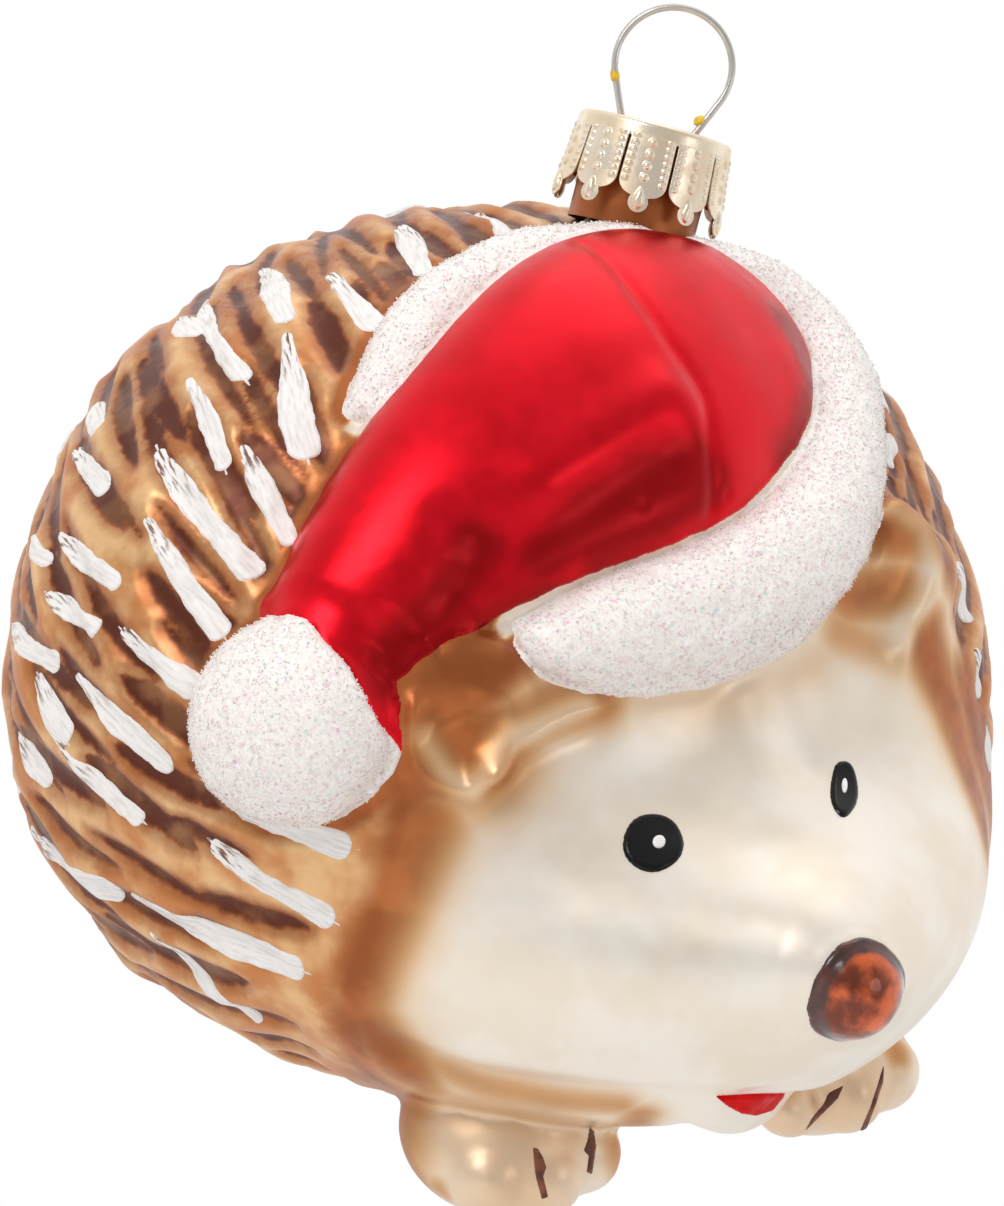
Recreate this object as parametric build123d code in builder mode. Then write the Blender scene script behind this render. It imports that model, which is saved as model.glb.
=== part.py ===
from build123d import *
import os
from math import acos, atan2, cos, pi, radians, sin

os.makedirs("parts", exist_ok=True)

# A hollow blown-glass hedgehog in a winter hat, hung from a crown cap with a spring wire ring.
# Millimetres, +Z up along the neck, +X to the right and -Y to the viewer.
# The origin is the hanging point, inside the top of the ring.

# Spring wire
wire_thickness = 0.6
ring_inner_radius = 4.65
ring_drop = 10.05  # hanging point to the top of the cap
hole_spacing = 6.0
leg_length = 14.0
leg_spread = 1.0  # each leg's tip stands this much further out than its hole
knee_radius = 1.2

# Crown cap of thin sheet
cap_sheet = 0.25
cap_radius = 6.55
cap_foot_radius = 7.2
cap_height = 7.7
cap_edge_radius = 0.5
wire_clearance = 0.45  # between the wire and the edge of its hole
tongue_count = 10
tongue_lobe_radius = 0.85
slit_width = 0.16
slit_start = 1.5  # below the top of the cap
shoulder_start = 5.3
shoulder_end = 6.6

# Glass
glass_wall = 0.6
body_length = 92.2  # tail to snout
body_width = 85.8
body_height = 66.3
body_drop = 55.8  # hanging point to the middle of the body
body_aside = 0.9
body_forward = 0.6
neck_clearance = 0.18  # between the neck and the skirt of the cap
neck_wall = 0.7
neck_top_gap = 0.2

# How the animal looks: it turns to its left, and its nose dips
turn_of_animal = 40.0
dip_of_animal = 35.0
roll_of_animal = 1.5

# Hat
hat_width = 28.4
hat_relief = 7.4
lacquer = 0.15
brim_width = 10.8
brim_relief = 4.8
glitter = 0.5
pompom_radius = 8.4
pompom_flat_radius = 7.6
pompom_lift = 1.0

# Face and feet
nose_radius = 4.1
nose_setback = 1.6  # behind the tip of the snout
nose_aside = 1.0  # to the animal's right
nose_rise = 3.0
enamel = 0.15
eye_radius = 2.5
eye_relief = 0.5
glint_radius = 0.55
glint_relief = 0.2
glint_rise = 0.35
tongue_length = 5.4
tongue_width = 2.2
tongue_relief = 0.4
ear_radius = 5.8
ear_relief = 2.6
paw_length = 19.0
paw_width = 17.6
paw_height = 12.4
paw_place = 30.5  # along the animal from the middle of the body
paw_spacing = 30.6
paw_aside = 1.4  # both stand this far to the animal's right
paw_drop = 22.6
toe_radius = 3.4
toe_spacing = 4.6
toe_proud = 1.0
toe_setback = 1.4
claw_length = 5.0
claw_width = 0.9
claw_relief = 0.4
claw_drop = 1.0

# Painted quills
stroke_length = 9.0
stroke_width = 2.4
stroke_relief = 0.45
stroke_margin = 2.5
bare_belly_share = 0.8  # no stroke where the skin looks down by more than this

overrun = 5.0

# Outline of the body in sections from tail to snout: place along the length,
# half width, top and bottom, as shares of the length, width and height
body_shares = [
    (-0.451, 0.030, 0.048, -0.048),
    (-0.439, 0.082, 0.136, -0.136),
    (-0.407, 0.216, 0.264, -0.279),
    (-0.325, 0.355, 0.385, -0.422),
    (-0.217, 0.452, 0.451, -0.492),
    (-0.087, 0.500, 0.462, -0.538),
    (0.043, 0.485, 0.413, -0.532),
    (0.152, 0.446, 0.359, -0.486),
    (0.249, 0.387, 0.259, -0.428),
    (0.336, 0.333, 0.148, -0.359),
    (0.401, 0.275, 0.125, -0.299),
    (0.456, 0.205, 0.125, -0.241),
    (0.499, 0.135, 0.119, -0.157),
    (0.531, 0.077, 0.103, -0.069),
    (0.549, 0.035, 0.075, -0.009),
]
section_fullness = 2.2  # 2 is an oval, more is squarer
section_points = 20
spacing_shares = [step / section_points for step in range(section_points + 1)]

# Places on the body are a turn to the animal's left and a tilt up, in degrees from its middle.
# The hat and its brim run along such places, with half width and relief as shares.
hat_shares = [
    (101.7, 51.8, 0.46, 0.35),
    (102.1, 59.5, 0.73, 0.59),
    (97.6, 70.0, 0.92, 0.81),
    (65.1, 82.6, 1.00, 0.95),
    (-60.1, 67.5, 0.87, 1.00),
    (-67.8, 46.2, 0.66, 0.84),
    (-69.5, 30.8, 0.47, 0.68),
    (-69.0, 22.8, 0.35, 0.57),
]
brim_shares = [
    (-98.0, 52.1, 0.30, 0.33),
    (-109.2, 59.2, 0.56, 0.67),
    (-135.1, 65.7, 0.63, 0.75),
    (-179.2, 68.3, 0.65, 0.75),
    (144.0, 64.2, 0.63, 0.80),
    (120.9, 56.9, 0.63, 0.75),
    (107.3, 48.1, 0.67, 0.78),
    (94.5, 44.0, 0.72, 0.75),
    (72.3, 46.0, 0.80, 0.88),
    (42.4, 47.1, 0.93, 0.96),
    (15.4, 45.4, 1.00, 1.00),
    (-10.9, 42.8, 0.98, 0.96),
    (-31.9, 39.3, 0.70, 0.75),
    (-43.6, 37.2, 0.26, 0.38),
]
pompom_at = (-67.9, 17.1)
ears_at = [(-47.7, 26.7), (53.7, 30.5)]
eyes_at = {"right": (-18.2, 13.0), "left": (13.6, 14.2)}
tongue_at = (-3.0, -18.0)
# Rings of brush strokes: angle back from the snout, and strokes in a whole ring
stroke_rings = [(58, 20), (74, 26), (90, 27), (106, 26), (122, 22), (138, 16), (154, 9)]
stroke_length_shares = [1.0, 0.75, 1.15, 0.6, 0.9]

# Sizes that follow
wire_radius = wire_thickness / 2
ring_radius = ring_inner_radius + wire_radius
ring_middle = Vector(0, 0, -ring_inner_radius)
cap_top = -ring_drop
hole_radius = wire_radius + wire_clearance
neck_radius = cap_radius - cap_sheet - neck_clearance
neck_bore = neck_radius - neck_wall
body_middle = Vector(body_aside, -body_forward, -body_drop)


def pose(direction):
    """Turns a direction from a standing animal that faces the viewer to this one."""
    turned = direction.rotate(Axis.Z, turn_of_animal).rotate(Axis.X, dip_of_animal)
    return turned.rotate(Axis.Y, -roll_of_animal)


ahead = pose(Vector(0, -1, 0))
left = pose(Vector(1, 0, 0))
upward = pose(Vector(0, 0, 1))


def spot(along, aside, rise):
    """Point measured from the middle of the body along the animal's own directions."""
    return body_middle + ahead * along + left * aside + upward * rise


def power(value, exponent):
    """Keeps the sign while it raises a share to a power."""
    return abs(value) ** exponent if value >= 0 else -(abs(value) ** exponent)


def body_form(inset):
    """The animal's rounded body, smaller all round by the inset."""
    length = body_length - 2 * inset
    width = body_width - 2 * inset
    height = body_height - 2 * inset
    with BuildPart() as made:
        for place_share, half_share, top_share, bottom_share in body_shares:
            half = width * half_share
            middle = height * (top_share + bottom_share) / 2
            rise = height * (top_share - bottom_share) / 2
            outline = []
            for step in range(section_points):
                angle = radians(360 / section_points * step)
                across = half * power(cos(angle), 2 / section_fullness)
                above = middle + rise * power(sin(angle), 2 / section_fullness)
                outline.append((across, above))
            section = Plane(spot(length * place_share, 0, 0), x_dir=left, z_dir=ahead)
            with BuildSketch(section):
                with BuildLine():
                    add(Edge.make_spline(outline, periodic=True, parameters=spacing_shares))
                make_face()
        loft()
    return made.part


body_skin = body_form(0)


def seat(direction, heading):
    """Plane on the body's skin where a line from its middle comes out, its X along the heading."""
    point, normal = body_skin.find_intersection_points(Axis(body_middle, direction))[-1]
    if normal.dot(direction) < 0:
        normal = -normal
    along = heading - normal * heading.dot(normal)
    return Plane(point, x_dir=along, z_dir=normal)


def toward(turn, tilt):
    """Direction from the middle of the body, turned to the animal's left and tilted up."""
    level = ahead * cos(radians(turn)) + left * sin(radians(turn))
    return level * cos(radians(tilt)) + upward * sin(radians(tilt))


def band(places, half_width, relief, grow):
    """Loft of ovals, half sunk in the body along a row of places, that grows at its ends as well."""
    seats = [seat(toward(turn, tilt), ahead) for turn, tilt, _, _ in places]
    with BuildPart() as made:
        for index, (_, _, width_share, relief_share) in enumerate(places):
            before = seats[max(index - 1, 0)].origin
            after = seats[min(index + 1, len(places) - 1)].origin
            along = (after - before).normalized()
            across = along.cross(seats[index].z_dir)
            beyond = grow * ((index == len(places) - 1) - (index == 0))
            origin = seats[index].origin + along * beyond
            with BuildSketch(Plane(origin, x_dir=across, z_dir=along)):
                Ellipse(half_width * width_share + grow, relief * relief_share + grow)
        loft()
    return made.part


def egg(length, width, height):
    """Rounded solid of three named sizes about the origin."""
    return scale(Solid.make_sphere(1), by=(length / 2, width / 2, height / 2))


def hat_form(grow):
    """The hat's crown and its drooping tip."""
    return band(hat_shares, hat_width / 2, hat_relief, grow)


def brim_form(grow):
    """The rolled brim round the foot of the hat."""
    return band(brim_shares, brim_width / 2, brim_relief, grow)


def pompom_form(grow):
    """The ball at the tip of the hat, a little flattened on the body."""
    place = seat(toward(*pompom_at), ahead)
    size = 2 * (pompom_radius + grow)
    ball = egg(size, size, 2 * (pompom_flat_radius + grow))
    return place.offset(pompom_lift).location * ball


def paw_form(side, grow):
    """One forepaw, an oval pad with three toes at its front."""
    middle = spot(paw_place, side * paw_spacing / 2 - paw_aside, -paw_drop)
    pad_length = paw_length - 2 * toe_proud
    pad = egg(pad_length + 2 * grow, paw_width + 2 * grow, paw_height + 2 * grow)
    with BuildPart() as made:
        add(Plane(middle, x_dir=ahead, z_dir=upward).location * pad)
        for toe in (-1, 0, 1):
            reach = paw_length / 2 - toe_radius - abs(toe) * toe_setback
            with Locations(middle + ahead * reach + left * (toe * toe_spacing)):
                Sphere(toe_radius + grow)
    return made.part


# Glass with every bulge of the figure, before it is hollowed
snout_share = body_shares[-1][0]
nose_middle = spot(body_length * snout_share - nose_setback, -nose_aside, nose_rise)
bulges = [hat_form(0), brim_form(-glitter), pompom_form(-glitter)]
for turn, tilt in ears_at:
    ear = egg(2 * ear_radius, 2 * ear_radius, 2 * ear_relief)
    bulges.append(seat(toward(turn, tilt), ahead).location * ear)
for side in (-1, 1):
    bulges.append(paw_form(side, 0))
with BuildPart() as glass_outside:
    add(body_skin)
    neck_top = cap_top - cap_sheet - neck_top_gap
    with BuildSketch(Plane.XY.offset(neck_top)):
        Circle(neck_radius)
    extrude(amount=-(body_drop + neck_top))
    for bulge in bulges:
        add(bulge)
    with Locations(nose_middle):
        Sphere(nose_radius - enamel)

# Hollow blown shell with its open neck
under_glitter = -glitter - glass_wall
hollows = [body_form(glass_wall), hat_form(-glass_wall)]
hollows += [brim_form(under_glitter), pompom_form(under_glitter)]
for side in (-1, 1):
    hollows.append(paw_form(side, -glass_wall))
with BuildPart() as glass_shell:
    add(glass_outside.part)
    for hollow in hollows:
        add(hollow, mode=Mode.SUBTRACT)
    with BuildSketch(Plane.XY.offset(cap_top)):
        Circle(neck_bore)
    extrude(amount=-(body_drop + cap_top), mode=Mode.SUBTRACT)

# Red lacquer on the hat, and white glitter on its brim and pompom
lacquered_hat = hat_form(lacquer)
whole_brim = brim_form(0)
whole_pompom = pompom_form(0)
with BuildPart() as hat_lacquer:
    add(lacquered_hat)
    add(glass_outside.part, mode=Mode.SUBTRACT)
    add(whole_pompom, mode=Mode.SUBTRACT)
with BuildPart() as brim_glitter:
    add(whole_brim)
    add(glass_outside.part, mode=Mode.SUBTRACT)
    add(lacquered_hat, mode=Mode.SUBTRACT)
with BuildPart() as pompom_glitter:
    add(whole_pompom)
    add(glass_outside.part, mode=Mode.SUBTRACT)

# Brown enamel on the nose
with BuildPart() as nose_enamel:
    with Locations(nose_middle):
        Sphere(nose_radius)
    add(glass_outside.part, mode=Mode.SUBTRACT)

# Black enamel eyes
eyes = {}
for side, place in eyes_at.items():
    dome = egg(2 * eye_radius, 2 * eye_radius, 2 * eye_relief)
    with BuildPart() as eye:
        add(seat(toward(*place), ahead).location * dome)
        add(glass_outside.part, mode=Mode.SUBTRACT)
    eyes[side] = eye

# White glints, one on each eye
dot = Pos(glint_rise, 0, 0) * egg(2 * glint_radius, 2 * glint_radius, 2 * glint_relief)
with BuildPart() as eye_glints:
    for place in eyes_at.values():
        add(seat(toward(*place), upward).offset(eye_relief).location * dot)
    add(eyes["right"].part, mode=Mode.SUBTRACT)
    add(eyes["left"].part, mode=Mode.SUBTRACT)

# Red enamel tongue
tongue = egg(tongue_width, tongue_length, 2 * tongue_relief)
with BuildPart() as tongue_enamel:
    add(seat(toward(*tongue_at), upward).location * tongue)
    add(glass_outside.part, mode=Mode.SUBTRACT)

# Brown strokes between the toes
claw = egg(claw_length, claw_width, 4 * claw_relief)
claw_place = paw_place + paw_length / 2 - toe_setback / 2 - toe_radius / 3
with BuildPart() as claw_strokes:
    for side in (-1, 1):
        for gap_share in (-0.5, 0.5):
            claw_aside = side * paw_spacing / 2 - paw_aside + gap_share * toe_spacing
            middle = spot(claw_place, claw_aside, -paw_drop - claw_drop)
            add(Plane(middle, x_dir=-upward, z_dir=ahead).location * claw)
    add(glass_outside.part, mode=Mode.SUBTRACT)

# White brush strokes over the quills, clear of the hat, the ears and the neck
kept_clear = [(Vector(0, 0, cap_top - cap_height), cap_foot_radius)]
for row, reach in ((hat_shares, hat_width / 2), (brim_shares, brim_width / 2)):
    for turn, tilt, width_share, _ in row:
        kept_clear.append((seat(toward(turn, tilt), ahead).origin, reach * width_share))
kept_clear.append((seat(toward(*pompom_at), ahead).origin, pompom_radius))
for place in ears_at:
    kept_clear.append((seat(toward(*place), ahead).origin, ear_radius))


def is_clear(middle, reach):
    """True where nothing that is kept clear lies within reach."""
    return all((middle - other).length > reach + size for other, size in kept_clear)


strokes = []
for ring, (back_angle, count) in enumerate(stroke_rings):
    for number in range(count):
        around = radians(360 / count * (number + ring / 2))
        outward = left * cos(around) + upward * sin(around)
        direction = ahead * cos(radians(back_angle)) + outward * sin(radians(back_angle))
        place = seat(direction, -ahead)
        share = stroke_length_shares[(number + ring) % len(stroke_length_shares)]
        length = stroke_length * share
        looks_down = -upward.dot(direction) > bare_belly_share
        if is_clear(place.origin, length / 2 + stroke_margin) and not looks_down:
            strokes.append(place.location * egg(length, stroke_width, 2 * stroke_relief))
with BuildPart() as quill_strokes:
    add(strokes)
    add(glass_outside.part, mode=Mode.SUBTRACT)

# Crown cap: a drawn cup with two wire holes and a skirt slit into scalloped tongues
cap_foot = cap_top - cap_height
with BuildPart() as slit:
    half_pitch = pi * cap_foot_radius / tongue_count
    lobe_middle = cap_foot + tongue_lobe_radius
    with BuildSketch(Plane.XZ):
        with BuildLine():
            Polyline(
                (-slit_width / 2, cap_top - slit_start),
                (slit_width / 2, cap_top - slit_start),
                (slit_width / 2, cap_top - shoulder_start),
                (half_pitch - tongue_lobe_radius, cap_top - shoulder_end),
                (half_pitch, cap_top - shoulder_end),
                (half_pitch, cap_foot - overrun),
                (-half_pitch, cap_foot - overrun),
                (-half_pitch, cap_top - shoulder_end),
                (tongue_lobe_radius - half_pitch, cap_top - shoulder_end),
                (-slit_width / 2, cap_top - shoulder_start),
                close=True,
            )
        make_face()
        for side in (-1, 1):
            with Locations((side * half_pitch, lobe_middle)):
                Circle(tongue_lobe_radius, mode=Mode.SUBTRACT)
            with Locations((side * half_pitch, lobe_middle)):
                Rectangle(
                    2 * tongue_lobe_radius,
                    cap_top - shoulder_end - lobe_middle,
                    align=(Align.CENTER, Align.MIN),
                    mode=Mode.SUBTRACT,
                )
    extrude(amount=cap_foot_radius + overrun)
with BuildPart() as cap:
    with BuildSketch(Plane.XZ) as profile:
        with BuildLine():
            Polyline(
                (0, cap_top),
                (cap_radius, cap_top),
                (cap_foot_radius, cap_foot),
                (cap_foot_radius - cap_sheet, cap_foot),
                (cap_radius - cap_sheet, cap_top - cap_sheet),
                (0, cap_top - cap_sheet),
                close=True,
            )
        make_face()
        fillet(profile.vertices().group_by(Axis.Y)[-1].sort_by(Axis.X)[-1], cap_edge_radius)
    revolve(axis=Axis.Z)
    with Locations(Plane.XY.offset(cap_top)):
        with GridLocations(hole_spacing, 0, 2, 1):
            Hole(hole_radius)
    with PolarLocations(0, tongue_count, start_angle=180 / tongue_count):
        add(slit.part, mode=Mode.SUBTRACT)

# Wire ring: a loop whose two legs pass the holes and spring apart inside the neck
knee_height = cap_top - cap_sheet / 2
knee_drop = ring_middle.Z - knee_height
knee_reach = (knee_drop**2 + (hole_spacing / 2) ** 2) ** 0.5
lean = atan2(hole_spacing / 2, knee_drop) + acos(ring_radius / knee_reach)


def leg_points(side):
    """Tip, knee at the hole, and the point where a leg runs into the loop."""
    tip = (side * (hole_spacing / 2 + leg_spread), knee_height - leg_length)
    bend = (side * hole_spacing / 2, knee_height)
    join = (side * ring_radius * sin(lean), ring_middle.Z - ring_radius * cos(lean))
    return tip, bend, join


with BuildPart() as hanger_ring:
    with BuildLine(Plane.XZ) as route:
        FilletPolyline(*leg_points(-1), radius=knee_radius)
        ThreePointArc(leg_points(-1)[2], (0, ring_middle.Z + ring_radius), leg_points(1)[2])
        FilletPolyline(*reversed(leg_points(1)), radius=knee_radius)
    with BuildSketch(Plane(route.line @ 0, z_dir=route.line % 0)):
        Circle(wire_radius)
    sweep(path=route.line)

# One file for each node
nodes = {
    "glass_shell": glass_shell,
    "hat_lacquer": hat_lacquer,
    "brim_glitter": brim_glitter,
    "pompom_glitter": pompom_glitter,
    "nose_enamel": nose_enamel,
    "eye_right": eyes["right"],
    "eye_left": eyes["left"],
    "eye_glints": eye_glints,
    "tongue_enamel": tongue_enamel,
    "claw_strokes": claw_strokes,
    "quill_strokes": quill_strokes,
    "cap": cap,
    "hanger_ring": hanger_ring,
}
for name, node in nodes.items():
    node.part.label = name
    export_step(node.part, f"parts/{name}.step")

balance = glass_shell.part.center(CenterOf.MASS)
print("strokes", len(strokes))
print("glass volume", round(glass_shell.part.volume), "its middle of mass", balance)
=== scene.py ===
from math import cos, pi, radians, sin, tau

import bmesh
import bpy
import numpy as np
from mathutils import Matrix, Vector
from mathutils.bvhtree import BVHTree
from mathutils.kdtree import KDTree


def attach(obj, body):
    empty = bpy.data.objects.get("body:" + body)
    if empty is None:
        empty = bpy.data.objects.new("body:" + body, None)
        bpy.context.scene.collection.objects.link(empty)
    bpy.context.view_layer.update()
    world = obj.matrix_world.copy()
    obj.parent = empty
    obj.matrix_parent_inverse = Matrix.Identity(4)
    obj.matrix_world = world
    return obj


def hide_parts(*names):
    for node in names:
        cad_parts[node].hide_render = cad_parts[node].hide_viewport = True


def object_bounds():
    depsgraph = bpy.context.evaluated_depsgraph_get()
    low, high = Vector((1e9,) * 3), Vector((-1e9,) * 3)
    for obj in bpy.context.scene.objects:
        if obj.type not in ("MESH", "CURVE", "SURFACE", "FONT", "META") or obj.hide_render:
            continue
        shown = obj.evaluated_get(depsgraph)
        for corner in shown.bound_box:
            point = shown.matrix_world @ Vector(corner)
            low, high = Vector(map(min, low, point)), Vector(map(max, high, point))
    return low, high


# A blown-glass hedgehog in a winter hat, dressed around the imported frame.
# Everything is worked out in millimetres and written to Blender in metres.
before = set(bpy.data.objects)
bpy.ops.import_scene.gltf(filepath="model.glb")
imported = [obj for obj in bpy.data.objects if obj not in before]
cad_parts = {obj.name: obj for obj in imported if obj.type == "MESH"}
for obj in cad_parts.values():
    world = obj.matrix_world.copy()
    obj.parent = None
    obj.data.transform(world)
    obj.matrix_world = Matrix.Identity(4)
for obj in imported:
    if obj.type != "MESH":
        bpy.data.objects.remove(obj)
cad_low, cad_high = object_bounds()
MM = 0.001

# The animal's own directions, and the middle of its body
ahead = np.array((0.654, -0.628, -0.422))
leftward = np.array((0.756, 0.527, 0.389))
upward = np.array((-0.021, -0.574, 0.819))
body_middle = np.array((0.9, -0.6, -55.8))
well_outside = 90  # millimetres from there to clear air
# The quills lie along lines that run back from this direction
quill_pole = 0.973 * ahead - 0.229 * leftward

# Camera, at the photograph's viewing angle; a pixel is one of the photograph's 1004 x 1206
image_middle = (502, 603)
image_height = 1206
focal_pixels = 7200
sensor_height = 36
camera_lean = radians(14.8)
camera_place = np.array((-2.4, -605.6, -52.0))
camera_right = np.array((cos(camera_lean), 0, sin(camera_lean)))
camera_up = np.array((-sin(camera_lean), 0, cos(camera_lean)))
camera_ahead = np.array((0, 1, 0))


# Tools for meshes

def arrays_of(mesh):
    """Points in millimetres, faces and point normals of a mesh."""
    count = len(mesh.vertices)
    points = np.zeros(count * 3)
    mesh.vertices.foreach_get("co", points)
    normals = np.zeros(count * 3)
    mesh.vertices.foreach_get("normal", normals)
    faces = [tuple(face.vertices) for face in mesh.polygons]
    return points.reshape(-1, 3) / MM, faces, normals.reshape(-1, 3)


def make_mesh(name, points, faces, smooth=True):
    """Mesh from points in millimetres."""
    mesh = bpy.data.meshes.new(name)
    mesh.from_pydata((np.asarray(points) * MM).tolist(), [], faces)
    mesh.polygons.foreach_set("use_smooth", [smooth] * len(mesh.polygons))
    mesh.update()
    return mesh


def shifted(faces, start):
    """Faces whose point numbers begin at start."""
    return [tuple(i + start for i in face) for face in faces]


def trimmed(places, chosen):
    """Only the points that the chosen faces use, those faces, and which points they were."""
    used = np.unique(np.concatenate([np.array(face) for face in chosen]))
    number = np.full(len(places), -1)
    number[used] = np.arange(len(used))
    return places[used], [tuple(number[list(face)].tolist()) for face in chosen], used


def closed_sheet(quads, count):
    """Faces of a sheet, of the same sheet count points further on, turned over, and of the walls between."""
    walls = {}
    for face in quads:
        for here, there in zip(face, face[1:] + face[:1]):
            if (there, here) in walls:
                del walls[(there, here)]
            else:
                walls[(here, there)] = True
    body = quads + [tuple(i + count for i in reversed(face)) for face in quads]
    return body + [(there, here, here + count, there + count) for here, there in walls]


def make_piece(name, mesh, slot, body, nodes=(), finish=None):
    """Object that rides on a body of the frame and stands for some of its nodes."""
    piece = bpy.data.objects.new(name, mesh)
    bpy.context.scene.collection.objects.link(piece)
    mesh.materials.append(finishes[finish or slot])
    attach(piece, body)
    if nodes:
        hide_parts(*nodes)
    return piece


def modified(mesh, kind, **settings):
    """The mesh after one modifier."""
    holder = bpy.data.objects.new("holder", mesh)
    bpy.context.scene.collection.objects.link(holder)
    modifier = holder.modifiers.new(kind.lower(), kind)
    for name, value in settings.items():
        setattr(modifier, name, value)
    graph = bpy.context.evaluated_depsgraph_get()
    result = bpy.data.meshes.new_from_object(holder.evaluated_get(graph))
    bpy.data.objects.remove(holder)
    return result


def set_values(mesh, name, values):
    """Number for each point, which materials can read."""
    attribute = mesh.attributes.new(name, "FLOAT", "POINT")
    attribute.data.foreach_set("value", np.asarray(values, np.float32))


def get_values(mesh, name):
    """The numbers that set_values wrote, as a modifier has spread them."""
    values = np.zeros(len(mesh.vertices), np.float32)
    mesh.attributes[name].data.foreach_get("value", values)
    return values.astype(float)


def edges_of(faces):
    """Each edge once, as two columns of point numbers."""
    pairs = set()
    for face in faces:
        for here, there in zip(face, face[1:] + face[:1]):
            pairs.add((min(here, there), max(here, there)))
    return np.array(sorted(pairs))


def smoothed(values, edges, rounds, share=0.5):
    """Values at the points, each drawn towards the mean of its neighbours."""
    values = np.array(values, float)
    flat = values.reshape(len(values), -1)
    one, other = edges.T
    degree = np.bincount(one, minlength=len(flat)) + np.bincount(other, minlength=len(flat))
    for _ in range(rounds):
        for column in range(flat.shape[1]):
            given = flat[:, column]
            total = np.bincount(one, given[other], len(flat)) + np.bincount(other, given[one], len(flat))
            flat[:, column] = given + share * (total / np.maximum(degree, 1) - given)
    return flat.reshape(values.shape)


def ease(value, low, high):
    """0 below low, 1 above high, and smooth between."""
    share = np.clip((value - low) / (high - low), 0, 1)
    return share * share * (3 - 2 * share)


def noise(points, size, seed):
    """Smooth noise from -1 to 1 with lumps about as wide as size."""
    cell = points / size + 31.7 * seed
    base = np.floor(cell).astype(np.int64)
    part = cell - base
    part = part * part * (3 - 2 * part)
    total = np.zeros(len(points))
    for corner in np.ndindex(2, 2, 2):
        key = base + corner
        mixed = (key[:, 0] * 73856093) ^ (key[:, 1] * 19349663) ^ (key[:, 2] * 83492791) ^ (seed * 40503)
        mixed = ((mixed & 0xFFFFFFF) * 1103515245 + 12345) & 0x7FFFFFFF
        mixed = ((mixed ^ (mixed >> 13)) * 1274126177) & 0x7FFFFFFF
        weight = np.prod(np.where(corner, part, 1 - part), axis=1)
        total += weight * (mixed / 0x3FFFFFFF - 1)
    return total


# Places on the glass

def angle_from(points, direction):
    """Angle in degrees at the middle of the body between each point and a direction."""
    offset = np.asarray(points) - body_middle
    along = (offset @ direction) / np.linalg.norm(offset, axis=1)
    return np.degrees(np.arccos(np.clip(along, -1, 1)))


def tree_of(points, faces):
    """Search tree over a mesh in millimetres."""
    return BVHTree.FromPolygons([Vector(point) for point in points], faces)


def sight(pixel):
    """Direction in which the camera sees a pixel."""
    across, down = pixel[0] - image_middle[0], pixel[1] - image_middle[1]
    return focal_pixels * camera_ahead + across * camera_right - down * camera_up


def place_at(tree, pixel):
    """Place on the glass that the photograph shows at a pixel."""
    hit = tree.ray_cast(Vector(camera_place), Vector(sight(pixel)).normalized())[0]
    return None if hit is None else np.array(hit)


def place_toward(tree, direction):
    """Outermost place on the glass in a direction from the middle of the body."""
    reach = well_outside * direction / np.linalg.norm(direction)
    return np.array(tree.ray_cast(Vector(body_middle + reach), Vector(-reach).normalized())[0])


def mirrored(places):
    """The same places on the animal's other side."""
    places = np.asarray(places)
    return places - 2 * np.outer((places - body_middle) @ leftward, leftward)


def distance_to_line(points, line):
    """Distance from each point to a row of places joined by straight runs."""
    nearest = np.full(len(points), np.inf)
    for start, end in zip(line[:-1], line[1:]):
        run = end - start
        share = np.clip((points - start) @ run / (run @ run), 0, 1)
        gap = np.linalg.norm(points - start - share[:, None] * run, axis=1)
        nearest = np.minimum(nearest, gap)
    return nearest


def rows_at(tree, pixels, both=False):
    """Row of places under a row of pixels, and the row on the animal's other side if both have it."""
    row = [place_at(tree, pixel) for pixel in pixels]
    row = np.array([place for place in row if place is not None])
    if not len(row):
        return []
    if len(row) == 1:
        row = np.vstack([row, row + 0.01])
    return [row, mirrored(row)] if both else [row]


def beside(points, row, width):
    """1 on a row of places, fading to 0 over about twice the width."""
    return np.exp(-((distance_to_line(points, row) / width) ** 2))


def to_pixels(places):
    """Where the camera sees places, in the photograph's pixels."""
    offset = places - camera_place
    scale = focal_pixels / (offset @ camera_ahead)
    across = image_middle[0] + scale * (offset @ camera_right)
    return np.column_stack([across, image_middle[1] - scale * (offset @ camera_up)])


# Glass

lip_height = -10.75  # just under the top of the neck
neck_foot = -24  # the neck stands on the body above this height
voxel = 0.45
weld = 0.004
far_off = 9.0  # for a distance that is larger than any that counts


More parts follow.
